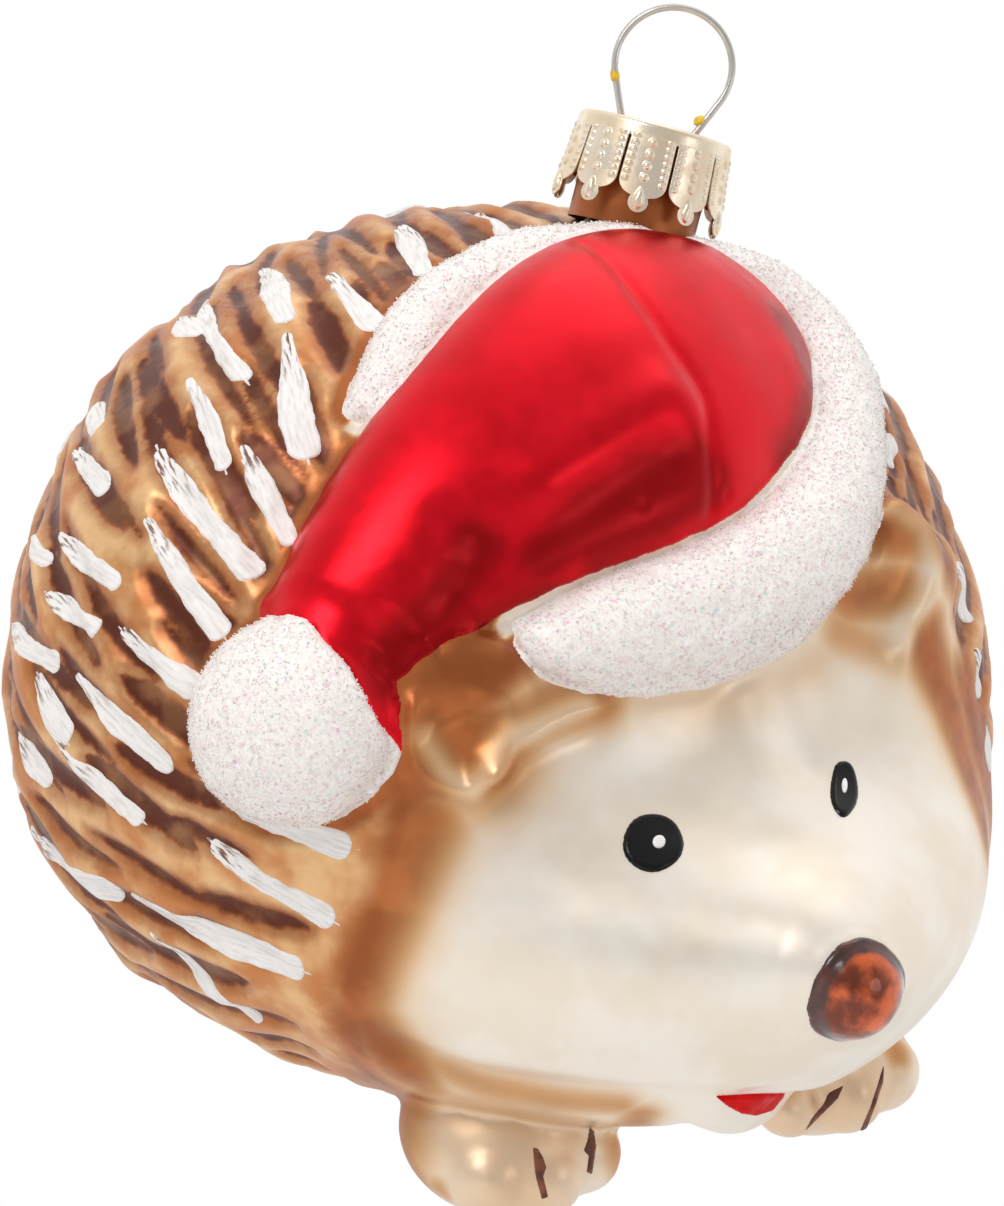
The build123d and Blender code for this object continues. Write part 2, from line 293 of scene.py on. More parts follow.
def glass_sheets(node):
    """Outside of the hollow glass as one even closed mesh, and the sheet inside it."""
    shell = bmesh.new()
    shell.from_mesh(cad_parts[node].data)
    bmesh.ops.remove_doubles(shell, verts=shell.verts, dist=weld * MM)
    lip = [face for face in shell.faces if max(v.co.z for v in face.verts) > lip_height * MM]
    bmesh.ops.delete(shell, geom=lip, context="FACES")
    loose = [vert for vert in shell.verts if not vert.link_faces]
    bmesh.ops.delete(shell, geom=loose, context="VERTS")
    seen = set()
    sheets = []
    for start in shell.verts:
        if start in seen:
            continue
        sheet, waiting = [], [start]
        seen.add(start)
        while waiting:
            vert = waiting.pop()
            sheet.append(vert)
            for edge in vert.link_edges:
                other = edge.other_vert(vert)
                if other not in seen:
                    seen.add(other)
                    waiting.append(other)
        sheets.append(sheet)
    sheets.sort(key=lambda sheet: -max(v.co.y for v in sheet))
    meshes = []
    for kept in sheets[:2]:
        copied = shell.copy()
        copied.verts.ensure_lookup_table()
        chosen = {vert.index for vert in kept}
        bmesh.ops.delete(copied, geom=[v for v in copied.verts if v.index not in chosen], context="VERTS")
        mesh = bpy.data.meshes.new("sheet")
        copied.to_mesh(mesh)
        copied.free()
        meshes.append(mesh)
    shell.free()
    closed = bmesh.new()
    closed.from_mesh(meshes[0])
    bmesh.ops.holes_fill(closed, edges=[e for e in closed.edges if e.is_boundary], sides=0)
    bmesh.ops.recalc_face_normals(closed, faces=closed.faces)
    closed.to_mesh(meshes[0])
    closed.free()
    even = modified(meshes[0], "REMESH", mode="VOXEL", voxel_size=voxel * MM)
    return arrays_of(even), arrays_of(meshes[1])


(points, faces, normals), (inner_points, inner_faces, _) = glass_sheets("glass_shell")
edges = edges_of(faces)
points = smoothed(points, edges, 3)
base_tree = tree_of(points, faces)


def footprint(node, reach=0.2):
    """Distance of each glass point inside the edge of a coat of the frame, less than zero outside it."""
    coat_points, coat_faces, _ = arrays_of(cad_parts[node].data)
    tree = tree_of(coat_points, coat_faces)
    low, high = coat_points.min(0) - 4, coat_points.max(0) + 4
    near = np.flatnonzero(np.all((points > low) & (points < high), axis=1))
    gap = np.full(len(points), far_off)
    for index in near:
        gap[index] = tree.find_nearest(Vector(points[index]))[3]
    inside = gap < reach
    crossing = edges[inside[edges[:, 0]] != inside[edges[:, 1]]]
    border = KDTree(len(crossing))
    for index, middle in enumerate(points[crossing].mean(axis=1)):
        border.insert(middle, index)
    border.balance()
    depth = np.full(len(points), far_off)
    for index in near:
        depth[index] = border.find(points[index])[2]
    return smoothed(np.where(inside, depth, -depth), edges, 4)


def pictured(outline, reach):
    """Field that is above zero where the photograph shows the inside of an outline of pixels."""
    corners = np.array(outline, float)
    middle = place_at(base_tree, corners.mean(axis=0))
    closed = np.vstack([corners, corners[:1]])

    def field(places):
        near = np.flatnonzero(np.linalg.norm(places - middle, axis=1) < reach)
        seen = to_pixels(places[near])
        gap = distance_to_line(seen, closed)
        inside = np.zeros(len(near), bool)
        for start, end in zip(closed[:-1], closed[1:]):
            crosses = (start[1] > seen[:, 1]) != (end[1] > seen[:, 1])
            drop = end[1] - start[1] if end[1] != start[1] else 1e-9
            inside ^= crosses & (seen[:, 0] < start[0] + (seen[:, 1] - start[1]) * (end[0] - start[0]) / drop)
        distance = np.full(len(places), -far_off)
        distance[near] = np.where(inside, gap, -gap) * np.linalg.norm(middle - camera_place) / focal_pixels
        return distance
    return field


hat_field = footprint("hat_lacquer")
brim_field = footprint("brim_glitter")
pompom_field = footprint("pompom_glitter")
nose_field = footprint("nose_enamel")
hollow_gap = 1.3  # how much deeper the inner sheet lies, to leave room for the moulding
_, _, inner_normals = arrays_of(make_mesh("hollow", inner_points, inner_faces))
inner_points = inner_points + inner_normals * (hollow_gap * ease(-inner_points[:, 2], -neck_foot, 30))[:, None]
face_angle = angle_from(points, ahead)
# The hat's end laps over the ball: the snow shows only inside this outline of pixels
ball_outline = [
    (286, 560), (286, 604), (304, 616), (322, 640), (348, 664), (368, 694), (398, 752), (430, 800),
    (430, 900), (100, 900), (100, 560),
]
ball_shown = pictured(ball_outline, 30)(points)
lapped = np.minimum(pompom_field, -ball_shown)
pompom_field = np.minimum(pompom_field, ball_shown)
hat_field = np.maximum(hat_field, lapped)
outside_hat = np.minimum.reduce([-hat_field, -brim_field, -pompom_field])
ears = [place_at(base_tree, (470, 745)), place_at(base_tree, (905, 580))]
ear_gap = np.min([np.linalg.norm(points - ear, axis=1) for ear in ears], axis=0)
paw_gap = np.full(len(points), 99.0)
for pixels in ([(430, 1130), (600, 1165)], [(790, 1118), (900, 1090)]):
    for row in rows_at(base_tree, pixels):
        paw_gap = np.minimum(paw_gap, distance_to_line(points, row))


# How the creases between the parts are drawn smooth
face_edge = 48  # degrees from the snout
fine_rounds, coarse_rounds, snout_rounds = 60, 200, 80


def softened():
    """The glass with the creases of its parts drawn smooth, where blown glass has none."""
    face = ease(face_edge - face_angle, 0, 8) * ease(paw_gap, 6, 9)
    far, near = ease(-nose_field, 3, 11), ease(-nose_field, 0.2, 1.2)
    ear = ease(15 - ear_gap, 0, 6)
    hat_end = ease(lapped, -4, -1) * ease(-pompom_field, -0.5, 1)
    amount = np.maximum.reduce([0.95 * face * far, 0.9 * ear, 0.85 * hat_end])
    amount = amount * ease(outside_hat + far_off * (hat_end > 0), -0.5, 2)
    little = face * near * (1 - far)
    fine, coarse = smoothed(points, edges, fine_rounds), smoothed(points, edges, coarse_rounds)
    drawn = points + little[:, None] * (fine - points) + amount[:, None] * (coarse - points)
    snout = face * ease(-nose_field, -0.6, 5) * (1 - ease(-nose_field, 14, 20))
    return drawn + snout[:, None] * (smoothed(drawn, edges, snout_rounds) - drawn)


points = softened()

# Dark brush strokes lie in moulded grooves between the quills, in rings round their pole:
# angle from the pole and length
quill_start = 54  # degrees from the snout
groove_rings = [
    (56, 8), (68, 11), (80, 12), (92, 12), (104, 12), (116, 11), (128, 11), (140, 10), (152, 9), (164, 7),
]
groove_spacing = 4.7
groove_width = 2.5
groove_depth = 0.75
body_radius = 42


def local_frame(place):
    """Unit vectors on the glass at a place: outward, back along the quills and across them."""
    outward = (place - body_middle) / np.linalg.norm(place - body_middle)
    back = outward * (quill_pole @ outward) - quill_pole
    back = back / np.linalg.norm(back)
    return outward, back, np.cross(outward, back)


def ring_places(tree, rng, rings):
    """Places in staggered rings round the quills' pole, each with the length that its ring gives."""
    side_one = np.cross(quill_pole, upward)
    side_one = side_one / np.linalg.norm(side_one)
    side_two = np.cross(quill_pole, side_one)
    for ring, (angle, length, spacing) in enumerate(rings):
        count = round(tau * body_radius * sin(radians(angle)) / spacing)
        for number in range(count):
            turn = tau * (number + 0.5 * (ring % 2) + rng.uniform(-0.22, 0.22)) / count
            tilt = radians(angle + rng.uniform(-4, 4))
            around = side_one * cos(turn) + side_two * sin(turn)
            yield place_toward(tree, quill_pole * cos(tilt) + around * sin(tilt)), length


def lay_grooves():
    """Distance of each glass point inside the nearest dark stroke."""
    rng = np.random.default_rng(7)
    deepest = np.full(len(points), -6.0)
    rings = [(angle, length, groove_spacing) for angle, length in groove_rings]
    for middle, length in ring_places(base_tree, rng, rings):
        outward, back, across = local_frame(middle)
        lean = rng.uniform(-0.16, 0.16)
        along = back * cos(lean) + across * sin(lean)
        across = np.cross(outward, along)
        length = length * rng.uniform(0.85, 1.45)
        width = groove_width * rng.uniform(0.6, 1.25)
        near = np.flatnonzero(np.linalg.norm(points - middle, axis=1) < length / 2 + 3)
        offset = points[near] - middle
        way = offset @ along / (length / 2)
        half = width / 2 * (0.85 + 0.15 * way) * np.sqrt(np.clip(1 - np.abs(way) ** 2.6, 0, 1))
        inside = half - np.abs(offset @ across)
        inside = np.where(np.abs(way) < 1, inside, np.minimum(inside, (1 - np.abs(way)) * length / 2))
        deepest[near] = np.maximum(deepest[near], inside)
    return deepest


dark_field = lay_grooves()
quill_zone = ease(face_angle + 3 * noise(points, 7, 3), quill_start - 2, quill_start + 3)
down_share = (points - body_middle) @ upward / np.linalg.norm(points - body_middle, axis=1)
quill_zone = quill_zone * ease(down_share, -0.93, -0.75) * ease(ear_gap, 7, 10) * ease(outside_hat, 0.6, 1.6)

# Moulded forms: a row of pixels, a width and a height in millimetres, and True where both sides have it
face_forms = [
    ([(748, 735), (768, 780), (792, 860), (822, 930)], 4.5, 0.3),
    ([(742, 695), (752, 760), (772, 815)], 3.2, 0.5),
    ([(712, 695), (720, 745)], 2.4, -0.35),
    ([(792, 700), (802, 760)], 2.4, -0.45),
    ([(625, 790), (668, 800)], 4.0, -0.55, True),
    ([(552, 850), (580, 910)], 7.0, 0.7, True),
    ([(408, 712), (404, 745), (432, 776), (470, 790), (490, 768)], 1.3, 1.5),
    ([(492, 768), (516, 744), (540, 726), (572, 712), (604, 692)], 1.4, 1.5),
    ([(438, 722), (470, 708), (500, 714)], 1.3, -0.8),
    ([(448, 738), (472, 752)], 3.2, -0.6),
    ([(888, 503), (928, 528), (938, 562), (922, 612), (896, 646)], 1.4, 0.9),
    ([(880, 600), (908, 588)], 3.0, -0.8),
    ([(530, 752), (580, 735)], 2.6, -0.45),
    ([(400, 1050), (470, 1080), (560, 1094), (640, 1100), (700, 1103), (760, 1100), (820, 1093)], 1.9, -0.8),
    ([(708, 1110), (750, 1120), (786, 1110)], 2.2, 1.7),
]
hat_forms = [
    ([(583, 244), (636, 298), (672, 351), (701, 401), (711, 459), (711, 512)], 0.8, -0.32),
    ([(560, 290), (625, 350), (660, 400)], 6.0, 0.35),
    ([(551, 480), (610, 442), (668, 404)], 2.8, 0.9),
    ([(465, 587), (510, 545), (554, 519), (610, 482), (661, 452)], 3.0, -1.0),
    ([(380, 655), (415, 622), (447, 601)], 2.4, -0.6),
    ([(455, 520), (475, 535)], 2.0, -0.5),
    ([(760, 330), (790, 400), (780, 460)], 5.0, -0.5),
    ([(726, 494), (727, 495)], 0.4, -0.3),
    ([(645, 505), (646, 506)], 0.4, -0.25),
]
brim_forms = [([(565, 208), (620, 205), (690, 212), (745, 235)], 3.5, 1.3)]


def formed(forms):
    """Height of moulded forms at each glass point."""
    height = np.zeros(len(points))
    for pixels, width, rise, *both in forms:
        for row in rows_at(base_tree, pixels, *both):
            height += rise * beside(points, row, width)
    return height


# Swelling and lumps of the skin, in millimetres
quill_swell, quill_lumps, skin_lumps = 0.35, 0.33, 0.12
brim_waves, brim_knots = 0.3, 0.15


def relief():
    """How far each glass point is raised or sunk by the moulding."""
    height = formed(face_forms) - quill_zone * groove_depth * ease(dark_field, -1.1, 0.7)
    height += quill_zone * (quill_swell + quill_lumps * noise(points, 5.5, 11))
    height += skin_lumps * noise(points, 9, 5)
    height *= ease(np.minimum(outside_hat, far_off), -0.2, 1.5)
    height += formed(hat_forms) * ease(hat_field, -0.3, 1.5)
    brim_lumps = brim_waves * noise(points, 6, 15) + brim_knots * noise(points, 2.6, 16)
    height += brim_lumps * ease(np.maximum(brim_field, pompom_field), 0, 2)
    height += formed(brim_forms) * ease(np.maximum(brim_field, hat_field - 1), -0.3, 1.5)
    neck = np.hypot(points[:, 0], points[:, 1])
    return height * np.where(points[:, 2] > neck_foot, ease(neck, 6.6, 9), 1)


_, _, normals = arrays_of(make_mesh("glass_base", points, faces))
points = points + normals * smoothed(relief(), edges, 2)[:, None]
glass_tree = tree_of(points, faces)

# Airbrushed caramel: rows of pixels, a width in millimetres and a strength, and True where both sides have it
caramel_dabs = [
    ([(420, 730), (470, 745)], 7.0, 1.0), ([(520, 720), (560, 705), (600, 700)], 3.6, 0.8),
    ([(420, 820), (385, 900), (350, 1000), (400, 1070)], 5.0, 0.9, True),
    ([(640, 697), (735, 697), (800, 672), (850, 640)], 3.2, 0.38), ([(850, 596), (908, 588)], 3.6, 0.85),
    ([(880, 540), (925, 560)], 4.5, 0.5), ([(840, 630), (900, 650)], 3.4, 0.6),
    ([(925, 640), (948, 700), (968, 765), (985, 830)], 4.2, 0.95),
    ([(380, 1040), (480, 1084), (560, 1100), (620, 1106)], 2.6, 0.6), ([(680, 1125)], 5.0, 0.25),
    ([(330, 1040), (390, 1090)], 6.0, 0.9, True), ([(385, 1110), (440, 1190)], 2.6, 0.6),
    ([(640, 1115), (620, 1160), (590, 1200)], 2.6, 0.7), ([(460, 1120), (560, 1130), (520, 1190)], 9.0, 0.42),
    ([(895, 1050), (915, 1090), (890, 1135)], 2.6, 0.7), ([(800, 1120), (870, 1090)], 9.0, 0.42),
]
# Folds of the ears, whose crests get a painted highlight as less caramel: width and the share of caramel that
# is taken away
ear_fold = [(423, 735), (443, 770), (472, 787), (490, 766), (500, 746), (524, 732), (553, 719), (585, 705)]
far_ear_fold = [(892, 508), (924, 528), (932, 562), (920, 608), (898, 642)]
painted_highlight_crests = [(ear_fold, 1.5, 0.45), (far_ear_fold, 1.5, 0.45)]
cream_edge, cream_sway = 45, 8  # degrees from the snout where the cream ends, and how far that wanders


def airbrushed():
    """Strength of the caramel at each glass point, from 0 to 1, lessened along the ears' folds as a painted
    highlight.
    """
    offset = points - body_middle
    radius = np.linalg.norm(offset, axis=1)
    left_share, up_share = offset @ leftward / radius, offset @ upward / radius
    far_cheek, crown = ease(left_share, 0.1, 0.5), ease(up_share, 0.1, 0.35)
    border = cream_edge - cream_sway * far_cheek * (1 - crown)
    border = border + cream_sway * far_cheek * crown
    strength = ease(face_angle + 1.5 * noise(points, 12, 21), border - 4, border + 8)
    for pixels, size, most, *both in caramel_dabs:
        for row in rows_at(glass_tree, pixels, *both):
            strength = np.maximum(strength, most * beside(points, row, size))
    # Painted highlight: less caramel along the crests of the ears' folds, so that they look lit
    for pixels, size, highlight_share in painted_highlight_crests:
        for row in rows_at(glass_tree, pixels):
            strength = strength * (1 - highlight_share * beside(points, row, size))
    under = ease(-(offset @ upward), 14, 22) * ease(40 - offset @ ahead, 0, 14)
    strength = np.maximum(strength, 0.8 * under)
    strength = np.where(points[:, 2] > neck_foot, 1, strength)
    return strength * (1 - ease(np.minimum(hat_field, brim_field), -1.6, -0.8))


# The neck's rounded lip: radius and height of its outline
lip_outline = [
    (6.13, -13.4), (6.13, -11.3), (6.09, -10.9), (5.98, -10.64), (5.78, -10.52), (5.58, -10.64),
    (5.46, -10.9), (5.42, -11.3), (5.42, -14.0), (5.42, -19.0),
]
lip_steps = 96
lip_cut = -13.0  # the even skin ends here, inside the lip
inner_cut = -16.0


def lathe(outline, steps):
    """Points and faces of an outline turned round the Z axis."""
    turned = []
    for step in range(steps):
        angle = tau * step / steps
        turned += [(radius * cos(angle), radius * sin(angle), height) for radius, height in outline]
    rows = len(outline)
    quads = []
    for step in range(steps):
        here, there = step * rows, (step + 1) % steps * rows
        quads += [(here + i, there + i, there + i + 1, here + i + 1) for i in range(rows - 1)]
    return np.array(turned), quads


def make_glass():
    """The whole hollow glass: its sculpted outside, the lip of the neck and the sheet inside."""
    lip_points, lip_faces = lathe(lip_outline, lip_steps)
    outer = [face for face in faces if max(points[i, 2] for i in face) < lip_cut]
    kept_inner = [face for face in inner_faces if max(inner_points[i, 2] for i in face) < inner_cut]
    first, second = len(points), len(points) + len(lip_points)
    whole = np.vstack([points, lip_points, inner_points])
    every = outer + shifted(lip_faces, first) + shifted(kept_inner, second)
    rest = len(whole) - first
    kept, every, used = trimmed(whole, every)
    mesh = make_mesh("figure_glass", kept, every)
    readings = (("caramel", airbrushed(), 1.0), ("quill", quill_zone, 0.0), ("dark", dark_field, -6.0))
    for name, values, beyond in readings:
        set_values(mesh, name, np.concatenate([values, np.full(rest, beyond)])[used])
    inside = np.concatenate([np.zeros(second), np.ones(len(inner_points))])
    set_values(mesh, "inside", inside[used])
    return mesh


# Materials

def colour(red, green, blue):
    """Colour of a surface from its 0 to 255 screen values."""
    shares = [value / 255 for value in (red, green, blue)]
    linear = [share / 12.92 if share <= 0.04045 else ((share + 0.055) / 1.055) ** 2.4 for share in shares]
    return (*linear, 1.0)


def add_node(tree, kind, values=None, **settings):
    """Node with its settings, whose inputs are values or sockets of other nodes."""
    node = tree.nodes.new(kind)
    for name, value in settings.items():
        setattr(node, name, value)
    for key, value in (values or {}).items():
        if isinstance(value, bpy.types.NodeSocket):
            tree.links.new(value, node.inputs[key])
        else:
            node.inputs[key].default_value = value
    return node


def new_material(name, **values):
    """Material with a Principled shader, whose steady values stand on its sockets."""
    material = bpy.data.materials.new(name)
    material.use_nodes = True
    tree = material.node_tree
    shader = tree.nodes["Principled BSDF"]
    for socket, value in values.items():
        shader.inputs[socket.replace("_", " ")].default_value = value
    return material, tree, shader


def feed(tree, shader, **sockets):
    """Links that feed the shader."""
    for name, socket in sockets.items():
        tree.links.new(socket, shader.inputs[name.replace("_", " ")])


def mix(tree, share, first, second):
    """Mix of two colours."""
    return add_node(tree, "ShaderNodeMix", {0: share, 6: first, 7: second}, data_type="RGBA").outputs[2]


def reading(tree, name):
    """Number that the mesh holds under a name."""
    return add_node(tree, "ShaderNodeAttribute", attribute_name=name).outputs["Fac"]


def sum_of(tree, operation, first, second=0.0, third=0.0):
    """Result of one sum."""
    return add_node(tree, "ShaderNodeMath", {0: first, 1: second, 2: third}, operation=operation).outputs[0]


def ramp(tree, value, low, high, to_low=0.0, to_high=1.0):
    """Smooth step of a value between low and high."""
    limits = {0: value, 1: low, 2: high, 3: to_low, 4: to_high}
    return add_node(tree, "ShaderNodeMapRange", limits, interpolation_type="SMOOTHSTEP").outputs[0]


def product(tree, first, second):
    """Product of two numbers."""
    return sum_of(tree, "MULTIPLY", first, second)


def bumped(tree, height, strength, depth):
    """Normal of a surface with bumps of a depth in millimetres."""
    bumps = {"Height": height, "Strength": strength, "Distance": depth * MM}
    return add_node(tree, "ShaderNodeBump", bumps).outputs["Normal"]


def new_group(name, inputs, outputs):
    """Node group with named sockets: its tree and the sockets inside it."""
    tree = bpy.data.node_groups.new(name, "ShaderNodeTree")
    for label, kind in inputs:
        tree.interface.new_socket(label, in_out="INPUT", socket_type=kind)
    for label, kind in outputs:
        tree.interface.new_socket(label, in_out="OUTPUT", socket_type=kind)
    return tree, tree.nodes.new("NodeGroupInput").outputs, tree.nodes.new("NodeGroupOutput").inputs


def lumps_group():
    """Group: noise on the object with lumps of a size in millimetres."""
    inputs = [("Size", "NodeSocketFloat"), ("Detail", "NodeSocketFloat")]
    tree, given, result = new_group("lumps", inputs, [("Value", "NodeSocketFloat")])
    place = add_node(tree, "ShaderNodeTexCoord").outputs["Object"]
    scale = sum_of(tree, "DIVIDE", 1 / MM, given["Size"])
    values = {"Vector": place, "Scale": scale, "Detail": given["Detail"]}
    tree.links.new(add_node(tree, "ShaderNodeTexNoise", values).outputs["Fac"], result["Value"])
    return tree


def uneven_group():
    """Group: a colour between two, uneven in lumps, with a finely grained normal."""
    inputs = [("Light", "NodeSocketColor"), ("Dark", "NodeSocketColor"), ("Size", "NodeSocketFloat")]
    outputs = [("Color", "NodeSocketColor"), ("Normal", "NodeSocketVector"), ("Mask", "NodeSocketFloat")]
    tree, given, result = new_group("uneven", inputs, outputs)
    share = ramp(tree, lumpy(tree, given["Size"]), 0.36, 0.66)
    tree.links.new(mix(tree, share, given["Dark"], given["Light"]), result["Color"])
    tree.links.new(share, result["Mask"])
    tree.links.new(bumped(tree, lumpy(tree, 0.5, 2.0), 0.06, 0.05), result["Normal"])
    return tree


lumps = lumps_group()


def lumpy(tree, size, detail=3.0):
    """Noise from 0 to 1 with lumps of about a size in millimetres."""
    return add_node(tree, "ShaderNodeGroup", {"Size": size, "Detail": detail}, node_tree=lumps).outputs[0]


uneven = uneven_group()


def uneven_colour(tree, light, dark, size):
    """Sockets of the uneven group."""
    values = {"Light": light, "Dark": dark, "Size": size}
    return add_node(tree, "ShaderNodeGroup", values, node_tree=uneven).outputs


cream, cream_shade = colour(253, 245, 233), colour(247, 234, 216)
caramel_light, caramel_deep = colour(190, 108, 54), colour(158, 84, 36)
honey, bare_silver = colour(232, 184, 124), colour(214, 212, 208)
tan_light, tan_deep = colour(242, 196, 142), colour(210, 136, 78)
dark_stroke, thin_stroke, grey_stroke = colour(98, 44, 24), colour(160, 88, 44), colour(124, 78, 48)


def glass_material():
    """Silvered glass under satin lacquer, airbrushed at its borders and brushed with dark strokes."""
    material, tree, shader = new_material(
        "silvered_glass", Metallic=0.62, Roughness=0.4, Coat_Weight=0.1, Coat_Roughness=0.3
    )
    face = uneven_colour(tree, cream, cream_shade, 7.0)
    caramel = uneven_colour(tree, caramel_light, caramel_deep, 5.0)
    back = uneven_colour(tree, tan_light, tan_deep, 5.0)
    strength = reading(tree, "caramel")
    base = mix(tree, ramp(tree, strength, 0, 0.75), face["Color"], honey)
    base = mix(tree, ramp(tree, strength, 0.3, 1), base, caramel["Color"])
    base = mix(tree, reading(tree, "quill"), base, back["Color"])
    ragged = sum_of(tree, "MULTIPLY_ADD", lumpy(tree, 1.3), 0.9, -0.45)
    edge = sum_of(tree, "ADD", reading(tree, "dark"), ragged)
    halo = product(tree, ramp(tree, edge, -1.3, 0.1, 0, 0.65), reading(tree, "quill"))
    base = mix(tree, halo, base, thin_stroke)
    deep = mix(tree, ramp(tree, lumpy(tree, 6.0, 1.0), 0.55, 0.65), dark_stroke, grey_stroke)
    inner = mix(tree, ramp(tree, edge, 0.0, 0.45), thin_stroke, deep)
    cover = product(tree, ramp(tree, edge, -0.12, 0.2), ramp(tree, lumpy(tree, 4.0), 0.3, 0.5, 0.6, 1))
    painted = mix(tree, product(tree, cover, reading(tree, "quill")), base, inner)
    painted = mix(tree, reading(tree, "inside"), painted, bare_silver)
    satin = ramp(tree, lumpy(tree, 2.0), 0.3, 0.7, 0.36, 0.43)
    feed(tree, shader, Base_Color=painted, Roughness=satin, Normal=face["Normal"])
    return material


def lacquer_material():
    """Transparent red lacquer over silver, turned a deeper red along given rows as painted shade."""
    material, tree, shader = new_material(
        "red_lacquer", Metallic=0.9, Roughness=0.35, Coat_Weight=0.12, Coat_Roughness=0.25
    )
    red = uneven_colour(tree, colour(238, 9, 34), colour(224, 7, 28), 6.0)
    # Painted shade: the red turns to a deeper red along the painted shade rows, with a ragged edge
    painted_shade_wobble = sum_of(tree, "MULTIPLY_ADD", lumpy(tree, 4.0), 0.5, -0.25)
    painted_shade = ramp(tree, sum_of(tree, "ADD", reading(tree, "painted_shade"), painted_shade_wobble), 0.1, 0.9)
    red_with_painted_shade = mix(tree, painted_shade, red["Color"], colour(168, 2, 12))
    satin = ramp(tree, lumpy(tree, 1.5), 0.3, 0.7, 0.32, 0.4)
    feed(tree, shader, Base_Color=red_with_painted_shade, Roughness=satin, Normal=red["Normal"])
    return material


def glitter_material():
    """White glitter, each grain of which catches the light in its own tint."""
    material, tree, shader = new_material(
        "white_glitter", Roughness=0.45, Coat_Weight=0.2, Coat_Roughness=0.15
    )
    place = add_node(tree, "ShaderNodeTexCoord").outputs["Object"]
    cells = add_node(tree, "ShaderNodeTexVoronoi", {"Vector": place, "Scale": 1 / (0.24 * MM)})
    hue = add_node(tree, "ShaderNodeSeparateColor", {0: cells.outputs["Color"]}).outputs[0]
    tint = add_node(tree, "ShaderNodeValToRGB", {0: hue})
    tint.color_ramp.interpolation = "CONSTANT"
    stops = [
        (0.0, colour(254, 249, 244)), (0.4, colour(249, 242, 236)), (0.8, colour(250, 230, 235)),
        (0.9, colour(238, 210, 224)), (0.935, colour(220, 240, 232)), (0.955, colour(255, 255, 255)),
    ]
    while len(tint.color_ramp.elements) < len(stops):
        tint.color_ramp.elements.new(0.5)
    for element, (position, value) in zip(tint.color_ramp.elements, stops):
        element.position, element.color = position, value
    shine = ramp(tree, hue, 0.85, 0.95, 0.45, 0.12)
    grainy = bumped(tree, cells.outputs["Distance"], 0.45, 0.08)
    feed(tree, shader, Base_Color=tint.outputs[0], Roughness=shine, Normal=grainy)
    return material


def enamel_material(name, light, dark, size, roughness, metallic=0.0, coat_weight=0.12, gleam=0.5):
    """Thick enamel or bare metal, a little uneven."""
    material, tree, shader = new_material(
        name, Roughness=roughness, Metallic=metallic, Coat_Weight=0.0 if metallic else coat_weight,
        Coat_Roughness=0.1, Specular_IOR_Level=gleam
    )
    shade = uneven_colour(tree, colour(*light), colour(*dark), size)
    shine = ramp(tree, shade["Mask"], 0, 1, roughness * 1.25, roughness * 0.8)
    feed(tree, shader, Base_Color=shade["Color"], Roughness=shine, Normal=shade["Normal"])
    return material


def nose_material():
    """Brown enamel over silver, heavy and dark at its rim and thin in its middle."""
    material, tree, shader = new_material("brown_enamel", Roughness=0.2, Coat_Weight=0.6, Coat_Roughness=0.1)
    thin = uneven_colour(tree, colour(232, 108, 54), colour(120, 50, 26), 2.6)
    rim = uneven_colour(tree, colour(92, 46, 36), colour(56, 26, 20), 1.5)
    ragged = sum_of(tree, "MULTIPLY_ADD", lumpy(tree, 1.6), 0.4, -0.2)
    heart = ramp(tree, sum_of(tree, "ADD", reading(tree, "heart"), ragged), 0.25, 0.75)
    brown = mix(tree, heart, rim["Color"], thin["Color"])
    feed(tree, shader, Base_Color=brown, Metallic=product(tree, heart, 0.6), Normal=rim["Normal"])
    return material


def paint_material():
    """White brushed paint with the marks of the bristles, thin where the brush ran dry."""
    material, tree, shader = new_material("white_paint", Roughness=0.45)
    along = product(tree, reading(tree, "way"), 0.16)
    place = add_node(tree, "ShaderNodeCombineXYZ", {0: along, 1: reading(tree, "side")}).outputs[0]
    marks = {"Vector": place, "Scale": 3.4, "Detail": 4.0}
    bristle = add_node(tree, "ShaderNodeTexNoise", marks).outputs["Fac"]
    dry = product(tree, ramp(tree, bristle, 0.5, 0.62), reading(tree, "dry"))
    white = mix(tree, ramp(tree, bristle, 0.4, 0.75), colour(246, 243, 241), colour(226, 219, 214))
    brushed = mix(tree, dry, white, colour(122, 80, 56))
    feed(tree, shader, Base_Color=brushed, Normal=bumped(tree, bristle, 0.28, 0.08))
    return material


finishes = {
    "silvered_glass": glass_material(),
    "red_lacquer": lacquer_material(),
    "white_glitter": glitter_material(),
    "brown_enamel": nose_material(),
    "white_paint": paint_material(),
}
# Light and dark colour, size of the lumps, roughness, metallic, weight of the coat and strength of the gleam
for name, *finish in (
    ("black_enamel", (12, 9, 9), (4, 3, 3), 1.4, 0.22, 0.0, 0.03, 0.28),
    ("white_enamel", (250, 248, 245), (232, 228, 224), 1.0, 0.3),
    ("red_enamel", (226, 2, 4), (206, 2, 4), 2.0, 0.45, 0.0, 0.0, 0.06),
    ("claw_paint", (132, 70, 42), (84, 34, 20), 1.2, 0.4),
    ("gilt_sheet", (253, 240, 218), (244, 224, 194), 2.0, 0.31, 0.85),
    ("spring_wire", (226, 221, 214), (206, 199, 190), 3.0, 0.34, 1.0),
    ("yellow_enamel", (240, 206, 60), (224, 178, 24), 0.6, 0.3),
):
    finishes[name] = enamel_material(name, *finish)

make_piece("figure_glass", make_glass(), "silvered_glass", "figure", ["glass_shell"])


# Coats on the glass

